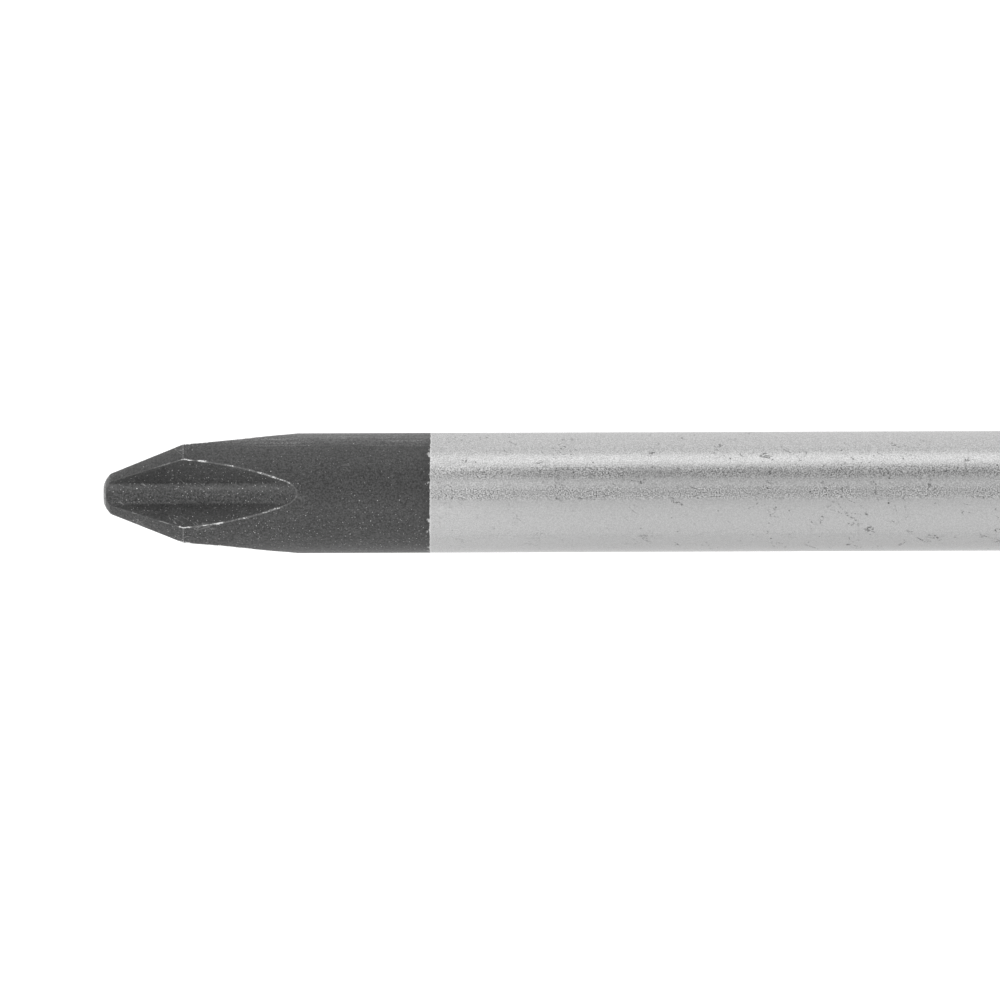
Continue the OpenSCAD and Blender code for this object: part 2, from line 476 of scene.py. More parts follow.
class Graph:
    """Short calls that add nodes to one node tree."""

    def __init__(self, tree: bpy.types.NodeTree) -> None:
        """Starts with an empty tree."""
        self.tree = tree
        tree.nodes.clear()

    def add(self, kind: str, sockets: dict | None = None, **settings: object) -> bpy.types.Node:
        """Adds a node.

        Args:
            kind: the node's type, without its leading "ShaderNode".
            sockets: values or links for its inputs, by name or number.
            settings: the node's own settings.

        Returns:
            The node.
        """
        node = self.tree.nodes.new("ShaderNode" + kind)
        for name, value in settings.items():
            setattr(node, name, value)
        for key, value in (sockets or {}).items():
            if isinstance(value, Socket):
                self.tree.links.new(value, node.inputs[key])
            else:
                node.inputs[key].default_value = value
        return node

    def math(self, operation: str, *values: float | Socket) -> Socket:
        """Works out one number from one, two or three."""
        return self.add("Math", dict(enumerate(values)), operation=operation).outputs[0]

    def product(self, *values: float | Socket) -> Socket:
        """Multiplies two or more numbers."""
        return reduce(partial(self.math, "MULTIPLY"), values)

    def total(self, *values: float | Socket) -> Socket:
        """Adds up two or more numbers."""
        return reduce(partial(self.math, "ADD"), values)

    def most(self, *values: float | Socket) -> Socket:
        """The largest of two or more numbers."""
        return reduce(partial(self.math, "MAXIMUM"), values)

    def apart(self, value: Socket, place: float) -> Socket:
        """How far a value is from a place."""
        return self.math("ABSOLUTE", self.math("SUBTRACT", value, place))

    def axes(self, where: Socket) -> tuple[Socket, Socket, Socket]:
        """The three parts of a vector."""
        return tuple(self.add("SeparateXYZ", {0: where}).outputs)

    def fade(self, value: Socket, start: float, stop: float, low: float = 0.0,
             high: float = 1.0) -> Socket:
        """Goes smoothly from low to high as a value goes from start to stop.

        Args:
            value: the value.
            start: where the fade starts.
            stop: where it stops, which may be below start.
            low: the result at the start.
            high: the result at the stop.

        Returns:
            The result.
        """
        node = self.add(
            "MapRange", {0: value, 1: start, 2: stop, 3: low, 4: high},
            interpolation_type="SMOOTHSTEP",
        )
        return node.outputs[0]

    def stretched(self, where: Socket, along: float) -> Socket:
        """Coordinates for a pattern that is drawn out along X: along is its scale there."""
        return self.add("Mapping", {"Vector": where, "Scale": (along, 1.0, 1.0)}).outputs[0]

    def noise(self, where: Socket, scale: float, detail: float = 2.0,
              rough: float = 0.5) -> Socket:
        """Smooth noise about 0.5.

        Args:
            where: coordinates.
            scale: features to a unit.
            detail: how many finer layers it has.
            rough: share that each finer layer keeps.

        Returns:
            The noise.
        """
        node = self.add(
            "TexNoise", {"Vector": where, "Scale": scale, "Detail": detail, "Roughness": rough}
        )
        return node.outputs["Fac"]

    def patches(self, where: Socket, noise: Sequence[float], start: float, stop: float,
                low: float = 0.0, high: float = 1.0) -> Socket:
        """Fades from low to high in the patches where a noise goes from start to stop.

        Args:
            where: coordinates.
            noise: the noise's scale, detail and roughness.
            start: level of the noise at which the fade starts.
            stop: level of the noise at which it stops.
            low: value where the noise is on the start's side.
            high: value where it is on the stop's side.

        Returns:
            The value.
        """
        return self.fade(self.noise(where, *noise), start, stop, low, high)

    def specks(self, where: Socket, scale: float, radius: float,
               share: float | Socket) -> Socket:
        """Round specks of varied strength.

        Args:
            where: coordinates.
            scale: cells to a unit.
            radius: radius of a speck, as a share of a cell.
            share: share of the cells that hold a speck.

        Returns:
            The strength of the speck at a point, 0 off the specks.
        """
        cells = self.add("TexVoronoi", {"Vector": where, "Scale": scale})
        near = self.fade(cells.outputs["Distance"], radius, radius * 0.5)
        pick = self.add("SeparateColor", {0: cells.outputs["Color"]})
        chosen = self.math("LESS_THAN", pick.outputs[0], share)
        return self.product(near, pick.outputs[1], chosen)

    def lines(self, where: Socket, stretch: Sequence[float], turn: float,
              scale: float, width: float) -> Socket:
        """Long thin scratches, which are the level lines of a stretched noise.

        Args:
            where: coordinates.
            stretch: scale of the noise along each axis.
            turn: angle of the scratches about Z, in degrees.
            scale: features to a unit.
            width: share of the noise's range that a scratch takes.

        Returns:
            1 on a scratch and 0 off it.
        """
        turned = self.add(
            "Mapping",
            {"Vector": where, "Rotation": (0, 0, math.radians(turn)),
             "Scale": [1 / share for share in stretch]},
            vector_type="TEXTURE",
        )
        level = self.noise(turned.outputs[0], scale, 1.0)
        return self.fade(self.apart(level, 0.5), width, width * 0.3)

    def mix(self, factor: float | Socket, a: object, b: object, how: str = "MIX") -> Socket:
        """Mixes two colours.

        Args:
            factor: share of the second.
            a: the first.
            b: the second.
            how: how they are mixed.

        Returns:
            The mixed colour.
        """
        node = self.add(
            "Mix", {0: factor, 6: a, 7: b}, data_type="RGBA", blend_type=how, clamp_factor=True
        )
        return node.outputs[2]

    def grey(self, value: Socket) -> Socket:
        """A grey of that level."""
        return self.add("CombineColor", {0: value, 1: value, 2: value}).outputs[0]

    def toned(self, colour: Sequence[float], tone: Socket) -> Socket:
        """A colour, lighter or darker by a tone about 1."""
        return self.mix(1.0, (*colour, 1.0), self.grey(tone), "MULTIPLY")

    def bump(self, height: Socket, distance: float, below: Socket | None = None) -> Socket:
        """Turns a height into bumps.

        Args:
            height: the height.
            distance: height of a bump, in metres.
            below: bumps that these lie on.

        Returns:
            The normal.
        """
        sockets = {"Height": height, "Distance": distance, "Strength": 1.0}
        if below is not None:
            sockets["Normal"] = below
        return self.add("Bump", sockets).outputs[0]

    def finish(self, inputs: dict[str, float | Socket]) -> None:
        """Ends a material with a principled shader that has these inputs."""
        shader = self.add("BsdfPrincipled", inputs)
        self.add("OutputMaterial", {0: shader.outputs[0]})


def start_material(name: str) -> tuple[bpy.types.Material, Graph]:
    """Starts a material.

    Args:
        name: its name.

    Returns:
        The material, with an empty node tree.
    """
    material = bpy.data.materials.new(name)
    material.use_nodes = True
    return material, Graph(material.node_tree)


def start_finish(name: str, lay: Lay) -> tuple[bpy.types.Material, Graph, Socket]:
    """Starts a finish with coordinates in millimetres.

    Args:
        name: its name.
        lay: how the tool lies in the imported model.

    Returns:
        The material, its node tree, and the coordinates, measured from the apex of the
        tip and from the tool's axis.
    """
    material, graph = start_material(name)
    coordinates = graph.add("TexCoord").outputs["Object"]
    place = (-lay.apex_x / MM, 0, -lay.axis_z / MM)
    scale = (1 / MM, 1 / MM, 1 / MM)
    mapping = graph.add("Mapping", {"Vector": coordinates, "Location": place, "Scale": scale})
    return material, graph, mapping.outputs[0]


def grey(level: float) -> tuple[float, float, float, float]:
    """A neutral colour."""
    return (level, level, level, 1.0)


# ---- finishes ----------------------------------------------------------------------


@dataclass(frozen=True)
class Knock:
    """A stretch of an upper flute edge that is knocked bare."""

    along: float
    side: float
    half: float
    depth: float


@dataclass(frozen=True)
class BladePoint:
    """Where a point of the blade's surface lies, as sockets of a node tree."""

    where: Socket
    along: Socket
    across: Socket
    height: Socket
    past_edge: Socket
    to_flute: Socket
    to_shoulder: Socket
    in_flute: Socket
    in_root: Socket


@dataclass(frozen=True)
class BladeFinish:
    """Satin plating on the shank, and a blackened tip that is worn along its edges."""

    tip: TipForm
    plate: float = 0.53
    plate_roughness: float = 0.15
    plate_grain: float = 0.27
    coarse_bands: tuple[Point, ...] = ((1.0, 0.42), (-0.05, 0.41))
    black: float = 0.029
    black_roughness: float = 0.5
    # Painted shade on the flute flanks, and painted light on their roots.
    flank_painted_shade: float = 0.66
    root_painted_light: float = 1.5
    worn: float = 0.75
    wear_width: float = 0.125
    scratched: float = 0.24
    black_end: float = 16.33
    end_lean: float = 0.008
    end_sway: float = 0.10
    end_fray: float = 0.13
    grain_depth: float = 0.000006
    knocks: tuple[Knock, ...] = (
        Knock(4.2, 1, 0.30, 0.26), Knock(4.9, 1, 0.40, 0.20), Knock(8.15, 1, 0.45, 0.20),
        Knock(4.1, -1, 0.30, 0.36), Knock(5.3, -1, 0.20, 0.12), Knock(5.9, -1, 0.20, 0.08),
    )

    def material(self, lay: Lay) -> bpy.types.Material:
        """Builds the finish.

        Args:
            lay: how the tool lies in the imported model.

        Returns:
            The material.
        """
        material, graph, where = start_finish("blade_finish", lay)
        at = self._place(graph, where)
        plated = graph.fade(at.past_edge, -0.015, 0.025)
        bare = self._bare_metal(graph, at)
        colour = graph.mix(bare, self._black(graph, at), grey(self.worn))
        colour = graph.mix(plated, colour, self._plate(graph, at))
        graph.finish({
            "Base Color": colour,
            "Metallic": graph.most(plated, bare),
            "Roughness": self._roughness(graph, at, plated),
            "Normal": self._relief(graph, at, plated),
            "Specular IOR Level": 0.7,
            "Sheen Weight": 0.1,
            "Sheen Roughness": 0.5,
        })
        return material

    def _place(self, graph: Graph, where: Socket) -> BladePoint:
        """Works out where a point lies from the form of the tip.

        Args:
            graph: the node tree to add to.
            where: coordinates, in millimetres along the tool.

        Returns:
            The point's places, and its distances from the edges that wear.
        """
        tip, work = self.tip, graph.math
        along, across, height = graph.axes(where)
        sides = [work("ABSOLUTE", axis) for axis in (across, height)]
        out, side = work("MAXIMUM", *sides), work("MINIMUM", *sides)

        root = self._root(graph, along)
        near = work("MINIMUM", side, tip.root_half)
        dip = work("SQRT", work("SUBTRACT", tip.root_round**2, graph.product(near, near)))
        below = work("SUBTRACT", graph.total(root, work("SUBTRACT", tip.root_round, dip)), out)
        lip = tip.root_round - math.sqrt(tip.root_round**2 - tip.root_half**2)
        rise = work("SUBTRACT", work("SUBTRACT", out, root), lip)
        width = work("MULTIPLY_ADD", rise, tip.flank_slope, tip.root_half)
        beside = graph.product(work("SUBTRACT", side, width),
                               math.cos(math.atan(tip.flank_slope)))

        cone = work("MULTIPLY_ADD", along, tip.cone_slope, tip.cone_r(0.0))
        squares = [graph.product(axis, axis) for axis in (across, height)]
        radius = work("SQRT", graph.total(*squares))
        depth = work("SUBTRACT", work("MINIMUM", cone, tip.shank_r), radius)
        return BladePoint(
            where, along, across, height,
            past_edge=self._past_edge(graph, where, along, across),
            to_flute=graph.most(beside, below, depth),
            to_shoulder=graph.most(graph.apart(along, tip.shoulder), depth),
            in_flute=graph.product(graph.fade(depth, 0.02, 0.15), graph.fade(along, 0.25, 0.5)),
            in_root=graph.fade(side, tip.root_half + 0.04, tip.root_half - 0.08),
        )

    def _root(self, graph: Graph, along: Socket) -> Socket:
        """The root of a flute: a straight run, then an arc.

        Args:
            graph: the node tree to add to.
            along: place along the tip.

        Returns:
            Distance of the root from the axis.
        """
        tip, work = self.tip, graph.math
        slope = math.tan(math.radians(tip.root_slope))
        straight = graph.product(work("MINIMUM", along, tip.straight), slope)
        run = work("SUBTRACT", graph.most(along, tip.straight), tip.wheel.x)
        drop = work("SQRT", work("SUBTRACT", tip.run_r**2, graph.product(run, run)))
        arc = work("SUBTRACT", tip.wheel.z - tip.root_end.z + tip.root_r, drop)
        return graph.total(straight, arc)

    def _past_edge(self, graph: Graph, where: Socket, along: Socket, across: Socket) -> Socket:
        """How far a point lies behind the ragged end of the black.

        Args:
            graph: the node tree to add to.
            where: coordinates.
            along: place along the tool.
            across: place across it.

        Returns:
            The distance, below 0 on the black finish.
        """
        edge = graph.math("MULTIPLY_ADD", across, self.end_lean, self.black_end)
        for reach, noise in ((self.end_sway, (0.9, 1.0)), (self.end_fray, (5.0, 3.0, 0.6))):
            level = graph.math("SUBTRACT", graph.noise(where, *noise), 0.5)
            edge = graph.math("MULTIPLY_ADD", level, reach, edge)
        return graph.math("SUBTRACT", along, edge)

    def _knocked(self, graph: Graph, at: BladePoint) -> Socket:
        """Stretches of the upper flute's edges that are knocked bare.

        Args:
            graph: the node tree to add to.
            at: where a point of the surface lies.

        Returns:
            How deep the edge is knocked, 0 off the stretches.
        """
        knocked = 0.0
        for knock in self.knocks:
            near = graph.fade(graph.apart(at.along, knock.along),
                              knock.half * 1.4, knock.half * 0.6, 0.0, knock.depth)
            side = graph.fade(at.across, -0.01 * knock.side, 0.01 * knock.side)
            knocked = graph.most(knocked, graph.product(near, side))
        return graph.product(knocked, graph.math("GREATER_THAN", at.height, 0.0))

    def _worn_edges(self, graph: Graph, at: BladePoint) -> tuple[Socket, Socket]:
        """Wear on the edges of the tip, in dashes.

        Args:
            graph: the tree to add to.
            at: where the point lies.

        Returns:
            The wear, and the noise that breaks it up.
        """
        clumps = graph.noise(graph.stretched(at.where, 0.5), 3.6, 4.0, 0.75)
        crumbs = graph.math("SUBTRACT", graph.noise(at.where, 13.0, 2.0, 0.6), 0.5)
        heavy = graph.patches(at.where, (1.1, 1.0), 0.45, 0.65, -0.16, 0.08)
        broken = graph.total(graph.math("MULTIPLY_ADD", crumbs, 0.7, clumps), heavy)
        lower = graph.fade(at.across, 0.2, -0.2, 0.0, 0.05)
        knocked = graph.total(self._knocked(graph, at), broken, lower)
        narrower = graph.fade(at.along, 8.6, 9.6, 1.0, 1.5)
        flute = graph.product(graph.fade(at.along, 3.3, 4.0, 0.32, 1.0),
                              graph.fade(at.along, 9.2, 8.6, 0.9, 1.0))
        shoulder = graph.fade(at.across, 1.0, -1.0, 0.65, 1.0)
        edges = (
            (graph.product(at.to_flute, narrower), knocked, flute),
            (at.to_shoulder, graph.total(broken, 0.07), shoulder),
        )
        worn = []
        for distance, rough, strength in edges:
            crest = graph.math("MULTIPLY_ADD", distance, -1 / self.wear_width, 1.0)
            dashes = graph.fade(graph.math("MULTIPLY_ADD", crest, 0.45, rough), 0.94, 1.04)
            line = graph.product(graph.fade(distance, 0.05, 0.01),
                                 graph.fade(rough, 0.36, 0.66, 0.08, 0.42))
            worn.append(graph.product(graph.most(dashes, line), strength))
        return graph.most(*worn), clumps

    def _bare_metal(self, graph: Graph, at: BladePoint) -> Socket:
        """Where the black finish is gone: edges, flakes, specks, scratches.

        Args:
            graph: the node tree to add to.
            at: where a point of the surface lies.

        Returns:
            1 on bare metal, 0 on the finish.
        """
        edges, clumps = self._worn_edges(graph, at)
        blunt = graph.product(graph.fade(at.along, 0.16, 0.06),
                              graph.fade(clumps, 0.35, 0.6, 0.1, 0.5))
        flakes = graph.product(graph.fade(at.past_edge, -0.2, -0.03),
                               graph.patches(at.where, (3.4, 1.0), 0.61, 0.64, 0.0, 0.6))
        crowd = graph.most(graph.fade(at.across, 0.0, -2.2, 0.55, 1.0), at.in_flute)
        specks = graph.specks(at.where, 3.6, 0.11, graph.product(crowd, 0.7))
        dust = graph.product(graph.specks(at.where, 7.5, 0.2, crowd),
                             graph.fade(crowd, 0.55, 1.0, 0.38, 0.85))
        fine = graph.lines(at.where, (0.1, 2.6, 0.4), 24, 1.0, 0.008)
        crossing = graph.lines(at.where, (0.12, 2.2, 0.5), -35, 1.0, 0.007)
        parts = graph.product(graph.patches(at.where, (0.9, 1.0), 0.56, 0.60),
                              graph.fade(at.along, 6.5, 3.5, 0.2, 1.0))
        scratches = graph.product(graph.most(fine, crossing), parts, self.scratched)
        return graph.most(edges, scratches, blunt, dust, flakes, specks)

    def _black(self, graph: Graph, at: BladePoint) -> Socket:
        """The black finish: grain, painted sheen along its +Y side, painted shade on the flute
        flanks and painted light on their roots, and a dark end.

        Args:
            graph: the node tree to add to.
            at: where a point of the surface lies.

        Returns:
            Its colour.
        """
        grain = graph.patches(at.where, (10.0, 3.0, 0.75), 0.34, 0.66, 0.0, 2.0)
        clouds = graph.patches(at.where, (0.35, 2.0), 0.3, 0.7, 0.88, 1.12)
        # The first factor darkens the last half millimetre of the black. The second is painted
        # sheen: the black is twice as light next to its +Y silhouette.
        rim = graph.product(graph.fade(at.past_edge, -0.5, -0.05, 1.0, 0.62),
                            graph.fade(at.across, 2.3, 2.7, 1.0, 2.0))
        level = graph.product(grain, clouds, rim)
        # Painted sheen: light streaks drawn out along the tool, next to the +Y silhouette.
        drawn_out = graph.stretched(at.where, 0.05)
        rub_and_sheen = graph.product(graph.patches(drawn_out, (6.0, 2.0), 0.48, 0.62),
                               graph.fade(at.across, 2.15, 2.45, 0.0, 1.2))
        level = graph.math("MULTIPLY_ADD", level, rub_and_sheen, level)
        # Painted shade and light in the flutes: darker flanks, and roots lighter towards -Y.
        root = graph.fade(at.across, 0.25, -0.1, 1.0 - self.flank_painted_shade,
                          self.root_painted_light - self.flank_painted_shade)
        inside = graph.math("MULTIPLY_ADD", at.in_root, root, self.flank_painted_shade - 1.0)
        flute = graph.math("MULTIPLY_ADD", at.in_flute, inside, 1.0)
        return graph.grey(graph.product(level, flute, self.black))

    def _plate(self, graph: Graph, at: BladePoint) -> Socket:
        """The plating, with its grain, marks, a bright rim, and painted light that makes it paler
        near the black where the dark reflection band falls.

        Args:
            graph: the node tree to add to.
            at: where a point of the surface lies.

        Returns:
            Its colour.
        """
        grain = graph.patches(at.where, (15.0, 2.0, 0.6), 0.25, 0.75, -1.0, 1.0)
        coarse = graph.fade(at.across, -0.5, -0.1, 0.13, self.plate_grain)
        uneven = graph.patches(at.where, (0.45, 1.0), 0.35, 0.65, 0.55, 1.35)
        for place, strength in self.coarse_bands:
            band = graph.fade(graph.apart(at.across, place), 0.42, 0.12, 0.0, strength)
            coarse = graph.math("MULTIPLY_ADD", band, uneven, coarse)
        clouds = graph.math("MULTIPLY_ADD", grain, coarse, 1.0)
        # Painted light: the plating is paler near the black, across the middle and the +Y side of
        # the bar, where the dark reflection band falls.
        painted_band_light = graph.product(graph.fade(at.across, -0.4, 0.6, 0.08, 0.21),
                              graph.fade(at.across, 1.2, 1.5, 1.0, 0.0))
        painted_lift = graph.math("MULTIPLY_ADD", graph.fade(at.past_edge, 10.5, 0.2), painted_band_light, 1.0)
        rim = graph.fade(at.past_edge, 0.11, 0.04, 1.0, 1.2)
        clean = graph.math("SUBTRACT", 1.0, self._marks(graph, at))
        return graph.grey(graph.product(clouds, painted_lift, rim, clean, self.plate))

    def _marks(self, graph: Graph, at: BladePoint) -> Socket:
        """Pits, scuffs and crumbly strokes of the plating.

        There are fewer near the black finish.

        Args:
            graph: the node tree to add to.
            at: where a point of the surface lies.

        Returns:
            The strength of the mark at a point.
        """
        pits = graph.product(graph.specks(at.where, 1.8, 0.11, 0.7), 0.9)
        scuffs = graph.product(graph.patches(at.where, (0.5, 2.0), 0.56, 0.62),
                               graph.patches(at.where, (6.0, 4.0, 0.75), 0.57, 0.63), 0.55)
        strokes = graph.product(graph.lines(at.where, (0.5, 2.0, 0.6), -24, 0.9, 0.035),
                                graph.patches(at.where, (0.9, 1.0), 0.57, 0.61),
                                graph.patches(at.where, (8.0, 3.0, 0.7), 0.50, 0.58), 0.65)
        shown = graph.most(graph.fade(at.past_edge, 9.0, 13.0, 0.35, 1.0),
                           graph.fade(at.across, -0.6, -0.2))
        return graph.product(graph.most(pits, scuffs, strokes), shown)

    def _roughness(self, graph: Graph, at: BladePoint, plated: Socket) -> Socket:
        """Roughness of both finishes. The plating is duller near the black one.

        Args:
            graph: the node tree to add to.
            at: where a point of the surface lies.
            plated: 1 on the plating.

        Returns:
            The roughness.
        """
        duller = graph.fade(at.past_edge, 4.0, 0.3, 0.0, 0.12)
        mottled = graph.patches(at.where, (1.4, 2.0), 0.3, 0.7, -0.02, 0.02)
        plate = graph.total(duller, mottled, self.plate_roughness)
        black = graph.patches(at.where, (6.0, 2.0), 0.3, 0.7,
                              self.black_roughness - 0.05, self.black_roughness + 0.05)
        return graph.math("MULTIPLY_ADD", graph.math("SUBTRACT", plate, black), plated, black)

    def _relief(self, graph: Graph, at: BladePoint, plated: Socket) -> Socket:
        """Fine grain of both finishes, weaker on the plating.

        Args:
            graph: the node tree to add to.
            at: where a point of the surface lies.
            plated: 1 on the plating.

        Returns:
            The normal.
        """
        grain = graph.noise(at.where, 11.0, 2.0, 0.6)
        return graph.bump(graph.product(grain, graph.fade(plated, 0.0, 1.0, 1.0, 0.6)),
                          self.grain_depth)


@dataclass(frozen=True)
class Moulding:
    """Hard moulded plastic with a fine eroded grain and a parting line."""

    name: str
    colour: tuple[float, float, float]
    roughness: float = 0.38
    rub_and_sheen: float = 0.18
    grain: float = 3.2
    depth: float = 0.000035
    parting: float = 0.00006

    def material(self, lay: Lay) -> bpy.types.Material:
        """Builds the finish.

        Args:
            lay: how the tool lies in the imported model.

        Returns:
            The material.
        """
        material, graph, where = start_finish(self.name, lay)
        clouds = graph.patches(where, (0.12, 3.0), 0.3, 0.7, 0.94, 1.06)
        fine = graph.patches(where, (5.0, 3.0, 0.7), 0.25, 0.75, 0.93, 1.07)
        scuffs = graph.product(graph.lines(where, (0.25, 1.6, 1.6), 12, 0.35, 0.012),
                               graph.patches(where, (0.2, 1.0), 0.54, 0.6), self.rub_and_sheen)
        worn = graph.patches(where, (0.6, 4.0, 0.6), 0.3, 0.7, -0.05, 0.07)
        relief = graph.bump(graph.noise(where, self.grain, 3.0, 0.65), self.depth)
        aside = graph.math("ABSOLUTE", graph.axes(where)[1])
        relief = graph.bump(graph.fade(aside, 0.14, 0.04), self.parting, relief)
        graph.finish({
            "Base Color": graph.toned(self.colour, graph.product(clouds, fine)),
            "Roughness": graph.total(worn, self.roughness, scuffs),
            "Normal": relief,
            "Specular IOR Level": 0.5,
        })
        return material


@dataclass(frozen=True)
class SoftGrip:
    """Soft moulded rubber with a pebbled surface and a little dust in it."""

    colour: tuple[float, float, float] = (0.028, 0.028, 0.03)
    roughness: float = 0.62
    pebbles: float = 1.9
    depth: float = 0.00006

    def material(self, lay: Lay) -> bpy.types.Material:
        """Builds the finish.

        Args:
            lay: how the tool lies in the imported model.

        Returns:
            The material.
        """
        material, graph, where = start_finish("soft_grip", lay)
        cells = graph.add("TexVoronoi", {"Vector": where, "Scale": self.pebbles},
                          feature="SMOOTH_F1").outputs["Distance"]
        dust = graph.fade(cells, 0.35, 0.75, 0.9, 1.5)
        clouds = graph.patches(where, (0.25, 3.0), 0.3, 0.7, 0.85, 1.2)
        pebbled = graph.bump(cells, -self.depth)
        graph.finish({
            "Base Color": graph.toned(self.colour, graph.product(dust, clouds)),
            "Roughness": graph.patches(where, (0.8, 3.0), 0.3, 0.7,
                                       self.roughness - 0.06, self.roughness + 0.08),
            "Normal": graph.bump(graph.noise(where, 7.0, 2.0), self.depth / 5, pebbled),
            "Specular IOR Level": 0.45,
            "Sheen Weight": 0.08,
            "Sheen Roughness": 0.4,
        })
        return material


# ---- the blade ---------------------------------------------------------------------


@dataclass
class Blade:
    """The forged bar: cross-point tip, round shank and tang."""

    shop: Workshop
    tip: TipForm
    nose_flat: float = 0.45
    nose_len: float = 0.34
    nose_roundings: tuple[float, float] = (0.5, 0.3)
    tang_step: float = 0.2
    tang_chamfer: float = 1.0
    wing_size: tuple[float, float, float] = (7.0, 2.2, 9.2)
    wing_places: tuple[float, float] = (152.7, 164.9)
    run_angle: float = 34.0
    run_steps: int = 72
    root_steps: int = 8
    reach: float = 6.0
    clearance: float = 1.0
    edge_turn: float = 16.0
    edge_width: float = 0.04
    edge_segments: int = 3
    facets: int = 144

    def build(self, steel: bpy.types.Material) -> None:
        """Builds and dresses the blade.

        Args:
            steel: its finish.
        """
        solid = self._bar()
        for i, place in enumerate(self.wing_places):
            wing = spun(box(self.wing_size, (place, 0, 0)), 90 * i)
            solid = carve(solid, wing, Cut.JOIN)
        solid = carve(solid, copies(self._flute(), self.tip.flutes))
        bevel(solid, self._is_flute_edge, self.edge_width, self.edge_segments)
        self.shop.deliver("blade", solid, Slot.BLADE, steel)

    def _is_flute_edge(self, edge: BMEdge) -> bool:
        """Whether an edge is a sharp one of the fluted end."""
        run_end = self.tip.straight + self.tip.run_r
        return max(v.co.x for v in edge.verts) < run_end and turn_of(edge) > self.edge_turn

    def _bar(self) -> BMesh:
        """Turns the bar and its tang.

        Returns:
            The bar before it is fluted.
        """
        sleeve_front = self.shop.lay.span("inner_sleeve")[0]
        end = self.shop.lay.span("blade")[1]
        tip = self.tip
        tang_r = tip.shank_r - self.tang_step
        corners = [
            (0, 0, 0),
            (0, self.nose_flat, self.nose_roundings[0]),
            (self.nose_len, tip.cone_r(self.nose_len), self.nose_roundings[1]),
            (tip.shoulder, tip.shank_r, 0),
            (sleeve_front, tip.shank_r, 0),
            (sleeve_front, tang_r, 0),
            (end - self.tang_chamfer, tang_r, 0),
            (end, tang_r - self.tang_chamfer, 0),
            (end, 0, 0),
        ]
        return lathe(rounded(corners, 8), self.facets, closed=False)

    def _flute(self) -> BMesh:
        """The path of the wheel that mills one flute on the upper side.

        The section is drawn where the straight part ends, drawn out forwards along the
        root, and swung backwards about the wheel's centre.

        Returns:
            The solid that is cut away.
        """
        tip = self.tip
        slope = math.radians(tip.root_slope)
        ahead = Vector((math.cos(slope), 0, math.sin(slope)))
        outward = Vector((-math.sin(slope), 0, math.cos(slope)))
        solid = bmesh.new()
        verts = [
            solid.verts.new(tip.root_end + Vector((0, side, 0)) + outward * depth)
            for side, depth in self._flute_section()
        ]
        section = solid.faces.new(verts)
        length = tip.straight / math.cos(slope) + self.clearance
        bmesh.ops.translate(solid, verts=drawn(solid, [section]), vec=-ahead * length)
        solid.faces.ensure_lookup_table()
        bmesh.ops.spin(
            solid, geom=[section, *section.edges, *section.verts],
            cent=tip.wheel, axis=(0, -1, 0), dvec=(0, 0, 0),
            angle=math.radians(self.run_angle), steps=self.run_steps,
        )
        return tidy(solid)

    def _flute_section(self) -> list[Point]:
        """The section of a flute.

        Returns:
            Distances to the side, and depths from the root outwards.
        """
        tip, steps = self.tip, self.root_steps
        half = math.asin(tip.root_half / tip.root_round)
        root = [
            (tip.root_round * math.sin(a), tip.root_round * (1 - math.cos(a)))
            for a in (half * (i / steps - 1) for i in range(2 * steps + 1))
        ]
        side, low = root[-1]
        far = side + (self.reach - low) * tip.flank_slope
        return [*root, (far, self.reach), (-far, self.reach)]


# ---- sleeves and guard ---------------------------------------------------------------


@dataclass
class Sleeves:
    """The two insulating sleeves on the root of the shank."""

    shop: Workshop
    bore_r: float = 2.8
    inner_r: float = 4.4
    front_r: float = 5.9
    root_r: float = 9.0
    rounding: float = 0.55
    back_rounding: float = 0.3
    bore_roundings: tuple[float, float, float] = (0.15, 0.1, 0.12)
    step: float = 0.5
    facets: int = 160

    def build(self, yellow: bpy.types.Material, red: bpy.types.Material) -> None:
        """Builds and dresses both sleeves.

        Args:
            yellow: finish of the inner one.
            red: finish of the outer one.
        """
        inner_front, inner_back, outer_front = self.bore_roundings
        front, back = self.shop.lay.span("inner_sleeve")
        inner = lathe(
            rounded([
                (front, self.bore_r, inner_front),
                (front, self.inner_r, self.rounding),
                (back, self.inner_r, self.back_rounding),
                (back, self.bore_r, inner_back),
            ]),
            self.facets,
        )
        self.shop.deliver("inner_sleeve", inner, Slot.YELLOW, yellow)

        front, back = self.shop.lay.span("outer_sleeve")
        outer = lathe(
            rounded([
                (front, self.inner_r, outer_front),
                (front, self.front_r, self.rounding),
                *((s, ease(self.front_r, self.root_r, (s - front) / (back - front)), 0)
                  for s in spread(front + 2 * self.rounding, back, self.step)),
                (back, self.inner_r, 0),
            ]),
            self.facets,
        )
        self.shop.deliver("outer_sleeve", outer, Slot.RED, red)


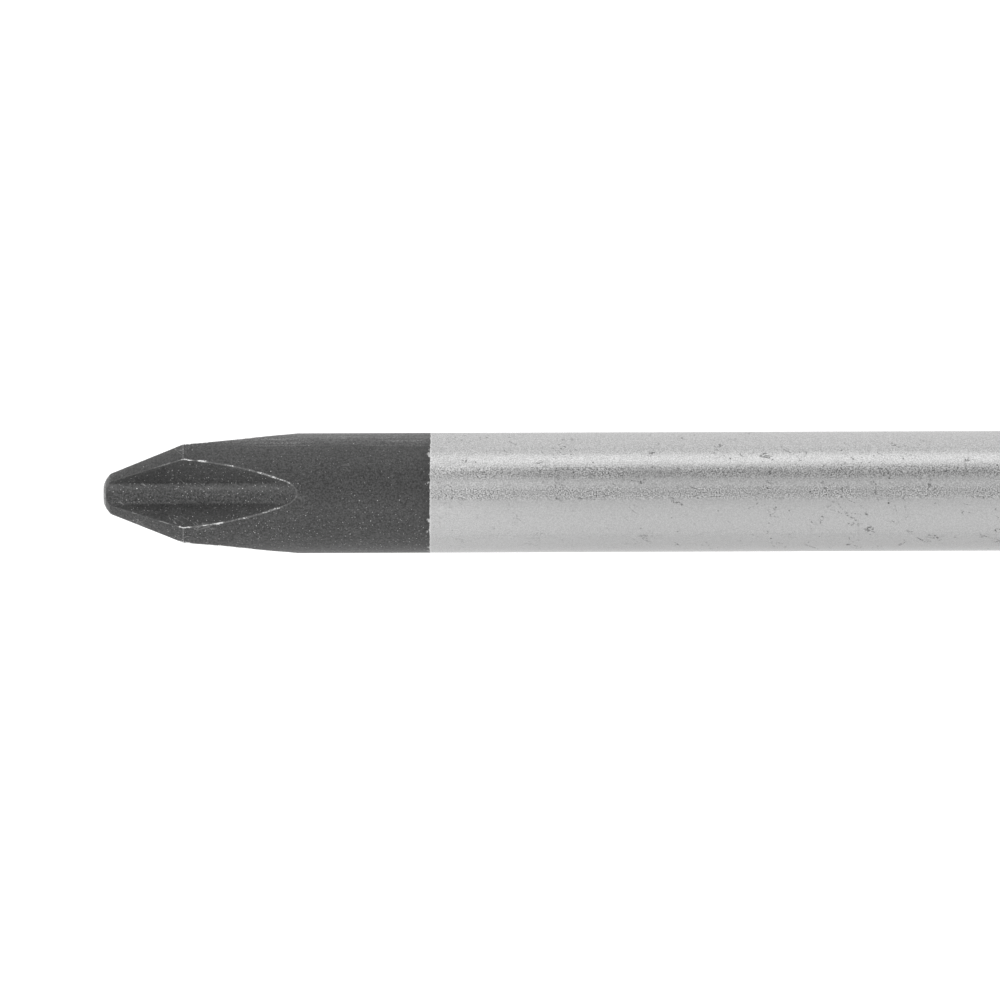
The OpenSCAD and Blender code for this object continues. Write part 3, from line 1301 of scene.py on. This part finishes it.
@dataclass
class Guard:
    """The six-sided collar between the sleeves and the finger grip."""

    shop: Workshop
    sides: int = 6
    corner_rounding: float = 3.5
    corner_segments: int = 10
    rim_rounding: float = 1.2
    rim_segments: int = 5
    bore_r: float = 8.4
    bore_facets: int = 96

    def build(self, red: bpy.types.Material) -> None:
        """Builds and dresses the guard.

        Args:
            red: its finish.
        """
        front, back = self.shop.lay.span("guard")
        flat_r = self.shop.lay.axis_z / MM
        corner_r = flat_r / math.cos(math.pi / self.sides)
        solid = bmesh.new()
        made = bmesh.ops.create_circle(
            solid, cap_ends=True, segments=self.sides, radius=corner_r,
            matrix=Matrix.Translation((front, 0, 0)) @ Matrix.Rotation(math.pi / 2, 4, "Y"),
        )
        back_verts = drawn(solid, made["verts"][0].link_faces)
        bmesh.ops.translate(solid, verts=back_verts, vec=(back - front, 0, 0))
        tidy(solid)
        bevel(solid, lambda edge: abs(edge.verts[0].co.x - edge.verts[1].co.x) > 1,
              self.corner_rounding, self.corner_segments)
        bevel(solid, lambda edge: turn_of(edge) > 60, self.rim_rounding, self.rim_segments)
        bore = lathe(
            [(front - 1, 0), (front - 1, self.bore_r), (back + 1, self.bore_r), (back + 1, 0)],
            self.bore_facets, closed=False,
        )
        self.shop.deliver("guard", carve(solid, bore), Slot.RED, red)


# ---- grip, pads and shell --------------------------------------------------------------


@dataclass
class FingerGrip:
    """The soft waisted sleeve behind the guard."""

    shop: Workshop
    bore_r: float = 7.2
    waist_r: float = 9.8
    end_r: float = 12.6
    rim_rounding: float = 0.5
    grooves: int = 5
    groove_pitch: float = 3.0
    groove_half: float = 0.8
    groove_depth: float = 0.55
    step: float = 0.12
    facets: int = 200

    def build(self, black: bpy.types.Material) -> None:
        """Builds and dresses the grip.

        Args:
            black: its finish.
        """
        front, back = self.shop.lay.span("finger_grip")
        rim = 2 * self.rim_rounding
        points = [
            (s, self._radius(s, front, back), 0)
            for s in spread(front + rim, back - rim, self.step)
        ]
        solid = lathe(
            rounded([
                (front, self.bore_r, 0),
                (front, self.end_r, self.rim_rounding),
                *points,
                (back, self.end_r, self.rim_rounding),
                (back, self.bore_r, 0),
            ]),
            self.facets,
        )
        self.shop.deliver("finger_grip", solid, Slot.BLACK, black)

    def _radius(self, along: float, front: float, back: float) -> float:
        """The radius of the grip, grooves included.

        Args:
            along: place along the tool.
            front: front of the grip.
            back: back of the grip.

        Returns:
            The radius there.
        """
        share = (along - front) / (back - front)
        radius = ease(self.end_r, self.waist_r, 2 * share)
        middle = (front + back) / 2
        reach = (self.grooves - 1) / 2
        nearest = max(-reach, min(reach, round((along - middle) / self.groove_pitch)))
        off = (along - middle - nearest * self.groove_pitch) / self.groove_half
        if abs(off) < 1:
            radius -= self.groove_depth * (1 + math.cos(math.pi * off)) / 2
        return radius


@dataclass
class GripPads:
    """The soft inlays of the shell, one to a side."""

    shop: Workshop
    form: HandleForm
    front_gap: float = 5.0
    rear_gap: float = 4.0
    front_half: float = 2.9
    rear_half: float = 4.3
    depth: float = 2.2
    proud: float = 0.5
    rim_rounding: float = 0.48
    rib_pitch: float = 2.4
    rib_depth: float = 0.3
    rib_start: float = 0.2
    rib_blend: float = 0.7
    rib_margin: float = 0.75
    seam: float = 0.1
    pad_faces: tuple[int, int] = (256, 26)
    seat_faces: tuple[int, int] = (64, 12)
    sharp_from: float = 50.0

    def build(self, black: bpy.types.Material) -> None:
        """Builds and dresses the pads.

        Args:
            black: their finish.
        """
        for i in range(self.form.sides):
            solid = spun(self._solid(0.0, self.pad_faces, self._crown), 360 / self.form.sides * i)
            self.shop.deliver(f"grip_pad_{i + 1}", solid, Slot.BLACK, black, self.sharp_from)

    def seat(self) -> BMesh:
        """The room that a pad takes in the shell.

        Returns:
            The solid that is cut away, facing down and open to the outside.
        """
        outside = self.proud + 1
        return self._solid(self.seam, self.seat_faces,
                           lambda along, _: self.form.radius(along) + outside)

    def _crown(self, along: float, inset: float) -> float:
        """The top of a pad, rounded at its rim, with ribs.

        Args:
            along: place along the tool.
            inset: distance inside the pad's outline.

        Returns:
            Distance of the top from the axis.
        """
        rim = self.rim_rounding
        drop = rim - math.sqrt(max(rim**2 - max(rim - inset, 0.0) ** 2, 0.0))
        first, last = self._ends()
        phase = math.cos(math.tau * (along - (first + last) / 2) / self.rib_pitch)
        groove = smoothstep((phase - self.rib_start) / self.rib_blend)
        fade = smoothstep((inset - rim) / self.rib_margin)
        return self.form.radius(along) + self.proud - drop - self.rib_depth * groove * fade

    def _ends(self) -> tuple[float, float]:
        """Where the two round ends of a pad are drawn from.

        Returns:
            Their centres, along the tool.
        """
        first = self.form.shell_front + self.front_gap + self.front_half
        last = self.form.cap_front - self.rear_gap - self.rear_half
        return first, last

    def _half_width(self, along: float) -> float:
        """The width of a pad.

        Args:
            along: place along the tool.

        Returns:
            Half of the width there.
        """
        first, last = self._ends()
        lean = (self.rear_half - self.front_half) / (last - first)
        if along < first - self.front_half * lean:
            return math.sqrt(max(self.front_half**2 - (along - first) ** 2, 0.0))
        if along > last - self.rear_half * lean:
            return math.sqrt(max(self.rear_half**2 - (along - last) ** 2, 0.0))
        return (self.front_half + (along - first) * lean) / math.sqrt(1 - lean**2)

    def _inset(self, along: float, side: float) -> float:
        """How far a point lies inside the pad's outline.

        Args:
            along: place along the tool.
            side: place across the pad.

        Returns:
            The distance, below 0 outside the outline.
        """
        first, last = self._ends()
        lean = (self.rear_half - self.front_half) / (last - first)
        level = math.sqrt(1 - lean**2)
        x, y = along - first, abs(side)
        run = x * level + y * lean
        if run < 0:
            return self.front_half - math.hypot(x, y)
        if run > (last - first) * level:
            return self.rear_half - math.hypot(along - last, y)
        return self.front_half + x * lean - y * level

    def _solid(
        self, margin: float, faces: tuple[int, int], top: Callable[[float, float], float]
    ) -> BMesh:
        """A solid with the pad's outline, on the seat's floor, facing down.

        Args:
            margin: how far it reaches past the pad's outline.
            faces: how many faces it has along the pad and across it.
            top: gives the distance of its top from the axis, from a place along the
                pad and the distance inside its outline.

        Returns:
            The solid.
        """
        first, last = self._ends()
        low, high = first - self.front_half, last + self.rear_half
        middle, half = (low + high) / 2, (high - low) / 2
        longer, wider = 1 + margin / half, 1 + margin / self.rear_half
        solid = bmesh.new()
        bmesh.ops.create_grid(solid, x_segments=faces[0], y_segments=faces[1], size=1)
        for vert in solid.verts:
            along = middle + half * math.sin(vert.co.x * math.pi / 2)
            side = self._half_width(along) * math.sin(vert.co.y * math.pi / 2)
            reach = top(along, max(self._inset(along, side), 0.0))
            vert.co = (middle + (along - middle) * longer, side * wider, 0)
            vert.co.z = -math.sqrt(reach**2 - vert.co.y**2)
        for vert in drawn(solid, solid.faces):
            floor = self.form.radius(vert.co.x) - self.depth
            vert.co.z = -math.sqrt(floor**2 - vert.co.y**2)
        return tidy(solid)


@dataclass
class Shell:
    """The ring and the hard shell, with seats for the pads."""

    shop: Workshop
    form: HandleForm
    pads: GripPads
    bore_r: float = 9.4
    ring_proud: float = 0.5
    ring_rounding: float = 0.45
    rim_rounding: float = 0.35
    step: float = 0.6
    facets: int = 288

    def build(self, yellow: bpy.types.Material, red: bpy.types.Material) -> None:
        """Builds and dresses the ring and the shell.

        Args:
            yellow: finish of the ring.
            red: finish of the shell.
        """
        front, back = self.shop.lay.span("shell_ring")
        out = self.form.front_r + self.ring_proud
        ring = lathe(
            rounded([
                (front, self.bore_r, 0),
                (front, out, self.ring_rounding),
                (back, out, self.ring_rounding),
                (back, self.bore_r, 0),
            ]),
            self.facets,
        )
        self.shop.deliver("shell_ring", ring, Slot.YELLOW, yellow)

        solid = carve(self._blank(), copies(self.pads.seat(), self.form.sides))
        self.shop.deliver("handle_shell", solid, Slot.RED, red)

    def _blank(self) -> BMesh:
        """Turns the shell and presses its scoops in.

        Returns:
            The shell before the seats are cut.
        """
        form, rim = self.form, self.rim_rounding
        curve = [
            (s, form.radius(s), 0)
            for s in spread(form.shell_front + 2 * rim, form.cap_front - 2 * rim, self.step)
        ]
        solid = lathe(
            rounded([
                (form.shell_front, self.bore_r, 0),
                (form.shell_front, form.radius(form.shell_front), rim),
                *curve,
                (form.cap_front, form.radius(form.cap_front), rim),
                (form.cap_front, self.bore_r, 0),
            ]),
            self.facets,
        )
        for vert in solid.verts:
            radius = vert.co.yz.length
            if radius > self.bore_r + 1:
                depth = form.scoop(vert.co.x, math.atan2(vert.co.y, -vert.co.z))
                vert.co.yz *= (radius - depth) / radius
        return solid


# ---- end cap ---------------------------------------------------------------------------


@dataclass
class Badge:
    """The disc that is sunk in the end face, with a plain raised cross."""

    shop: Workshop
    form: HandleForm
    recess_r: float = 7.0
    gap: float = 0.06
    sink: float = 0.4
    thickness: float = 1.6
    rim_width: float = 0.7
    rim_rounding: float = 0.12
    dish: float = 0.15
    dish_slope: float = 0.2
    dish_rounding: float = 0.1
    cross_arm: float = 4.4
    cross_half: float = 0.95
    cross_height: float = 0.3
    cross_foot: float = 0.5
    cross_rounding: float = 0.12
    facets: int = 160

    @property
    def face(self) -> float:
        """Place of the badge's rim along the tool."""
        return self.form.end_face - self.sink

    @property
    def floor(self) -> float:
        """Place of the floor of its recess."""
        return self.face - self.thickness

    def build(self, dark: bpy.types.Material) -> None:
        """Builds and dresses the badge.

        Args:
            dark: its finish.
        """
        face, out = self.face, self.recess_r - self.gap
        rim, dish = out - self.rim_width, face - self.dish
        solid = lathe(
            rounded([
                (self.floor, 0, 0),
                (self.floor, out, 0),
                (face, out, self.rim_rounding),
                (face, rim, self.dish_rounding),
                (dish, rim - self.dish_slope, self.dish_rounding),
                (dish, 0, 0),
            ]),
            self.facets, closed=False,
        )
        low, high = face - self.cross_foot, face + self.cross_height
        size = (high - low, 2 * self.cross_arm, 2 * self.cross_half)
        for degrees in (0, 90):
            arm = spun(box(size, ((low + high) / 2, 0, 0)), degrees)
            solid = carve(solid, arm, Cut.JOIN)
        bevel(solid, self._is_cross_edge, self.cross_rounding, 3)
        self.shop.deliver("cap_badge", solid, Slot.BADGE, dark)

    def _is_cross_edge(self, edge: BMEdge) -> bool:
        """Whether an edge is one of the top of the cross."""
        return turn_of(edge) > 60 and min(v.co.x for v in edge.verts) > self.face + 0.1


@dataclass
class EndCap:
    """The cap with the hanging hole, and the recess for the badge."""

    shop: Workshop
    form: HandleForm
    badge: Badge
    spigot_r: float = 7.6
    spigot_len: float = 6.0
    front_rounding: float = 0.35
    end_rounding: float = 3.4
    end_steps: int = 14
    land: float = 0.5
    step: float = 0.8
    hole_r: float = 3.25
    hole_back: float = 9.0
    hole_facets: int = 96
    mouth_rounding: float = 0.5
    spot_r: float = 5.5
    spot_half: float = 11.0
    spot_taper: float = 0.5
    recess_rounding: float = 0.18
    facets: int = 256

    def build(self, yellow: bpy.types.Material) -> None:
        """Builds and dresses the cap."""
        solid = carve(self._blank(), self._hole())
        self.shop.deliver("end_cap", solid, Slot.YELLOW, yellow)

    def _blank(self) -> BMesh:
        """Turns the cap with its spigot and the recess for the badge.

        Returns:
            The cap before the hanging hole is made.
        """
        form = self.form
        front, end = form.cap_front, form.end_face
        round_front = end - self.end_rounding
        edge = form.radius(round_front)
        recess_r, floor = self.badge.recess_r, self.badge.floor
        side = [
            (front + self.spigot_len, 0, 0),
            (front + self.spigot_len, self.spigot_r, 0),
            (front, self.spigot_r, 0),
            (front, form.radius(front), self.front_rounding),
            *((s, form.radius(s), 0)
              for s in spread(front + self.step, round_front - self.land, self.step)),
        ]
        turned = [
            (round_front + self.end_rounding * math.sin(a),
             edge - self.end_rounding * (1 - math.cos(a)))
            for a in (math.pi / 2 * i / self.end_steps for i in range(self.end_steps + 1))
        ]
        sunk = rounded([
            (end, edge - self.end_rounding - self.land, 0),
            (end, recess_r, self.recess_rounding),
            (floor, recess_r, 0),
            (floor, 0, 0),
        ])
        return lathe([*rounded(side), *turned, *sunk], self.facets, closed=False)

    def _hole(self) -> BMesh:
        """The cross hole, with rounded mouths and a sloped flat round each.

        Returns:
            The solid that is cut away.
        """
        half, rim, past = self.spot_half, self.mouth_rounding, 5.0
        side = rounded([
            (0, self.hole_r, 0),
            (half, self.hole_r, rim),
            (half, self.spot_r, rim),
            (half + past, self.spot_r + self.spot_taper * past, 0),
            (half + past, 0, 0),
        ])
        mirrored = [(-along, out) for along, out in reversed(side[1:])]
        solid = spun(lathe([*mirrored, *side], self.hole_facets, closed=False), 90, "Z")
        bmesh.ops.translate(solid, verts=solid.verts,
                            vec=(self.form.end_face - self.hole_back, 0, 0))
        return solid


# ---- stage -----------------------------------------------------------------------------


@dataclass(frozen=True)
class Band:
    """Light from one direction round the tool's axis."""

    angle: float
    level: float


@dataclass(frozen=True)
class Lamp:
    """A soft square lamp that points at the tool, with its size and place in metres."""

    name: str
    place: tuple[float, float, float]
    power: float
    size: float = 0.5


@dataclass
class Stage:
    """Floor, light and camera."""

    lay: Lay
    floor_half: float = 4.0
    floor_drop: float = 0.02
    floor_colour: float = 0.8
    floor_glow: float = 0.42
    near_sheen: float = 0.0
    far_sheen: float = 0.15
    sheen_turn: float = 0.015
    pole_level: float = 0.9
    top_level: float = 1.6
    lamps: tuple[Lamp, ...] = (
        Lamp("key", (-0.75, -0.62, 0.95), 4.0),
        Lamp("back", (0.85, 0.55, 0.9), 2.0),
    )
    lens: float = 600.0
    sensor: float = 36.0
    frame_width: float = 50.03
    frame_x: float = 19.83
    frame_y: float = -0.349
    roll: float = 0.2
    bands: tuple[Band, ...] = (
        Band(-180, 0.90), Band(-95, 0.91), Band(-85, 0.915), Band(-60, 0.945),
        Band(-35, 0.91), Band(-18, 0.84), Band(-4, 0.705), Band(2, 0.67),
        Band(9, 0.79), Band(16, 0.84), Band(24, 0.72), Band(31, 0.58),
        Band(39, 0.55), Band(47, 0.72), Band(57, 1.20), Band(66, 1.34),
        Band(73, 1.30), Band(82, 1.00), Band(90, 0.94), Band(180, 0.90),
    )

    def build(self) -> None:
        """Sets the stage."""
        scene = bpy.context.scene
        scene.view_settings.view_transform = "Standard"
        self._floor()
        self._world(scene)
        for lamp in self.lamps:
            self._light(lamp)
        self._camera(scene)

    def _floor(self) -> None:
        """A plain white floor, which keeps the tool's shadow."""
        solid = bmesh.new()
        bmesh.ops.create_grid(solid, x_segments=1, y_segments=1, size=self.floor_half)
        floor = link("floor", solid)
        floor.data.transform(Matrix.Translation((0, 0, -self.floor_drop * MM)))
        material, graph = start_material("floor")
        plain = graph.add("BsdfDiffuse", {"Color": grey(self.floor_colour)})
        path = graph.add("LightPath")
        mirrored = graph.most(path.outputs["Is Glossy Ray"], path.outputs["Is Transmission Ray"])
        across = graph.axes(graph.add("TexCoord").outputs["Object"])[1]
        sheen = graph.fade(across, -self.sheen_turn, self.sheen_turn,
                           self.near_sheen, self.far_sheen)
        seen = graph.product(path.outputs["Is Camera Ray"], self.floor_glow)
        strength = graph.math("MULTIPLY_ADD", mirrored, sheen, seen)
        glow = graph.add("Emission", {"Color": grey(1.0), "Strength": strength})
        both = graph.add("AddShader", {0: plain.outputs[0], 1: glow.outputs[0]})
        graph.add("OutputMaterial", {0: both.outputs[0]})
        floor.data.materials.append(material)

    def _world(self, scene: bpy.types.Scene) -> None:
        """Soft light in bands along the tool, and a plain white background.

        Args:
            scene: the scene that it lights.
        """
        world = bpy.data.worlds.new("studio")
        world.use_nodes = True
        scene.world = world
        graph = Graph(world.node_tree)
        along, across, up = graph.axes(graph.add("TexCoord").outputs["Generated"])
        angle = graph.math("ARCTAN2", across, up)
        share = graph.math("MULTIPLY_ADD", angle, 1 / math.tau, 0.5)
        ramp = graph.add("ValToRGB", {0: share})
        elements = ramp.color_ramp.elements
        elements.remove(elements[0])
        for i, band in enumerate(self.bands):
            place = band.angle / 360 + 0.5
            element = elements.new(place) if i else elements[0]
            element.position = place
            element.color = grey(band.level / self.top_level)
        side = graph.math("SQRT", graph.math("SUBTRACT", 1.0, graph.product(along, along)))
        aside = graph.fade(side, 0.3, 0.8)
        light = graph.mix(aside, grey(self.pole_level / self.top_level), ramp.outputs[0])
        bands = graph.add("Background", {"Color": light, "Strength": self.top_level})
        plain = graph.add("Background", {"Color": grey(1.0), "Strength": 1.0})
        path = graph.add("LightPath")
        seen = graph.most(path.outputs["Is Camera Ray"], path.outputs["Is Transmission Ray"])
        both = graph.add("MixShader", {0: seen, 1: bands.outputs[0], 2: plain.outputs[0]})
        graph.add("OutputWorld", {0: both.outputs[0]})

    def _light(self, lamp: Lamp) -> None:
        """Hangs one lamp.

        Args:
            lamp: its place, power and size.
        """
        data = bpy.data.lights.new(lamp.name, "AREA")
        data.shape = "SQUARE"
        data.size = lamp.size
        data.energy = lamp.power
        light = bpy.data.objects.new(lamp.name, data)
        light.location = lamp.place
        light.rotation_euler = (-Vector(lamp.place)).to_track_quat("-Z", "Y").to_euler()
        light.visible_camera = False
        bpy.context.scene.collection.objects.link(light)

    def _camera(self, scene: bpy.types.Scene) -> None:
        """A long lens that looks straight down on the tip.

        Args:
            scene: the scene that it looks at.
        """
        data = bpy.data.cameras.new("camera")
        data.lens = self.lens
        data.sensor_width = self.sensor
        data.clip_end = 100.0
        camera = bpy.data.objects.new("camera", data)
        distance = self.frame_width * MM * self.lens / self.sensor
        camera.location = (
            self.lay.apex_x + self.frame_x * MM,
            self.frame_y * MM,
            self.lay.axis_z + distance,
        )
        camera.rotation_euler = (0, 0, -math.radians(self.roll))
        scene.collection.objects.link(camera)
        scene.camera = camera


# ---- assembly --------------------------------------------------------------------------


def dress_core(lay: Lay, core: bpy.types.Object) -> None:
    """Gives the core, which lies wholly inside, the yellow moulding.

    Args:
        lay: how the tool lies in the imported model.
        core: the core's object.
    """
    finish = Moulding("core_yellow", (0.75, 0.42, 0.02), roughness=0.5)
    core.data.materials.clear()
    core.data.materials.append(finish.material(lay))
    log.info("handle_core: keeps its packed mesh")


def corners(bounds: tuple[Vector, Vector]) -> list[list[float]]:
    """Both corners of a box as plain lists."""
    return [list(corner) for corner in bounds]


def main() -> None:
    """Builds the whole tool and its stage."""
    logging.basicConfig(level=logging.INFO, format="%(name)s: %(message)s")

    lay = Lay.of_model()
    shop = Workshop(lay)
    form = HandleForm.of_model(lay)
    yellow = Moulding("yellow_moulding", (0.78, 0.43, 0.018)).material(lay)
    red = Moulding("red_moulding", (0.46, 0.016, 0.012)).material(lay)
    black = SoftGrip().material(lay)
    disc = Moulding("badge_moulding", (0.03, 0.03, 0.032), roughness=0.45, parting=0.0)
    dark = disc.material(lay)

    tip = TipForm()
    Blade(shop, tip).build(BladeFinish(tip).material(lay))
    Sleeves(shop).build(yellow, red)
    Guard(shop).build(red)
    FingerGrip(shop).build(black)
    pads = GripPads(shop, form)
    Shell(shop, form, pads).build(yellow, red)
    pads.build(black)
    badge = Badge(shop, form)
    EndCap(shop, form, badge).build(yellow)
    badge.build(dark)
    dress_core(lay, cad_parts["handle_core"])
    Stage(lay).build()


if __name__ == "__main__":
    main()
